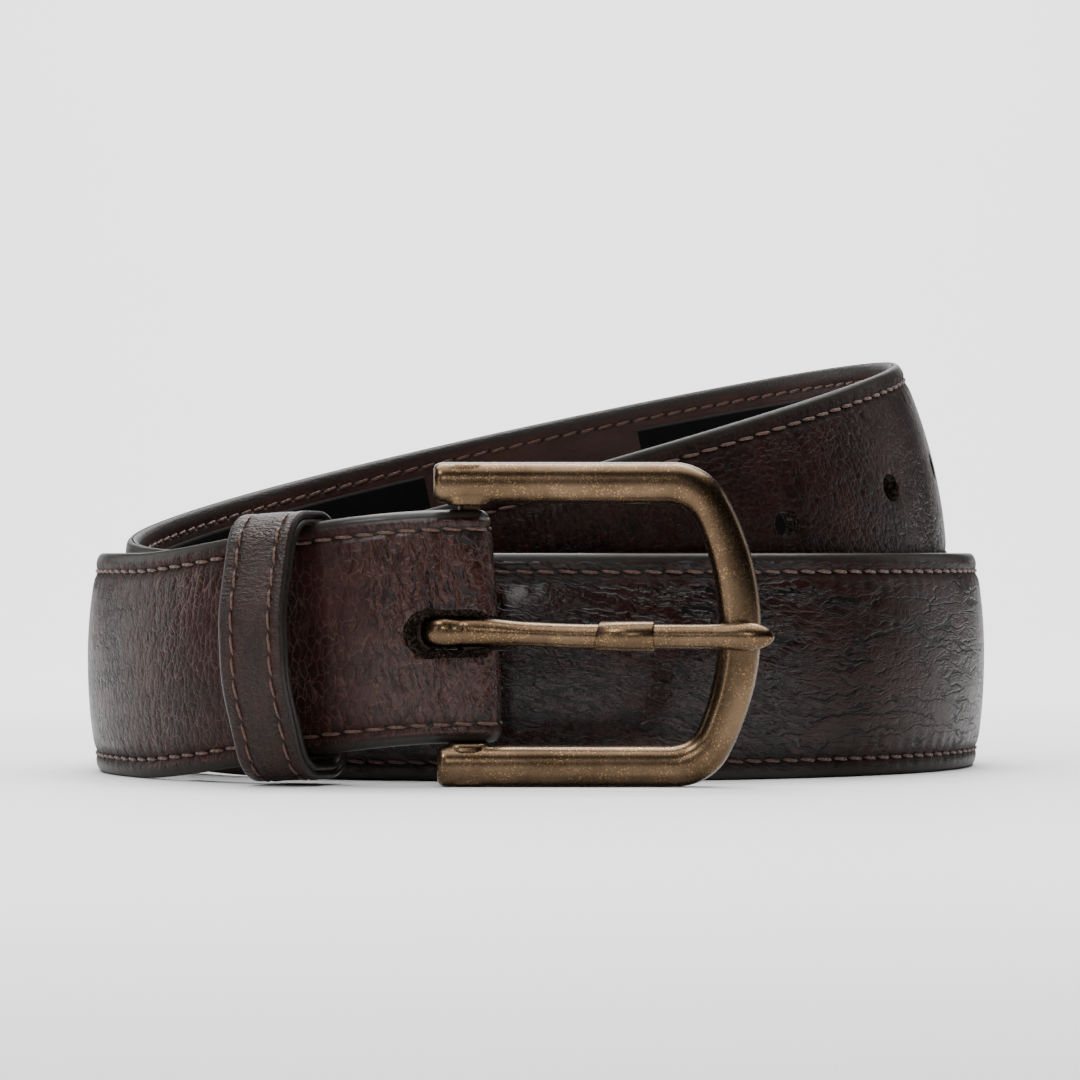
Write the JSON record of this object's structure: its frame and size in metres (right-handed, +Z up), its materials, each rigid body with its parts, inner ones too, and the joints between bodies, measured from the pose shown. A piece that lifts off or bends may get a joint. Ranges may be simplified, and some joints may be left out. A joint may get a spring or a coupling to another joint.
{
  "type": "leather belt",
  "caption": "Coiled dress belt: padded and stitched leather strap with punched holes, a folded end, a sliding keeper loop and a hinged frame buckle with a prong.",
  "frame": {"origin": "bottom centre of the coiled belt's bounding box, on the surface that it stands on", "axes": "+Z up, the buckle faces -Y, the strap runs from the buckle towards -X and round the back"},
  "size_m": [0.1468, 0.1618, 0.0672],
  "materials": {
    "outer_leather": "dark brown grained leather, semi-gloss, with a dark painted edge",
    "lining_leather": "brown lining leather, satin",
    "core": "pressed fibre padding",
    "thread": "waxed brown polyester thread",
    "panel": "matte black panel on the lining",
    "keeper_leather": "dark brown grained leather",
    "antique_brass": "antique brass, brushed and darkened, satin",
    "steel": "drawn steel pin"
  },
  "bodies": {
    "strap": {"outer_leather": "outer_leather", "strap_lining": "lining_leather", "padding_core": "core", "needle_thread": "thread", "bobbin_thread": "thread", "lining_panel_long": "panel", "lining_panel_short": "panel"},
    "buckle": {"buckle_frame": "antique_brass", "hinge_bar": "steel"},
    "prong_unit": {"prong": "antique_brass", "prong_sleeve": "antique_brass"},
    "keeper": {"keeper_outer": "keeper_leather", "keeper_lining": "keeper_leather", "keeper_thread": "thread", "keeper_staple": "steel"}
  },
  "joints": [
    {"name": "buckle_hinge", "type": "hinge", "parent": "strap", "child": "buckle", "pos_m": [-0.01086, -0.0687, 0.0243], "axis": [0, 0, -1], "range_deg": [-12, 30]},
    {"name": "prong_hinge", "type": "hinge", "parent": "buckle", "child": "prong_unit", "pos_m": [-0.01086, -0.0687, 0.0229], "axis": [0, 0, -1], "range_deg": [0, 80]},
    {"name": "keeper_slide", "type": "slide", "parent": "strap", "child": "keeper", "axis": [-0.8902, 0.4392, -0.1207], "range_m": [-0.005, 0.002]}
  ]
}
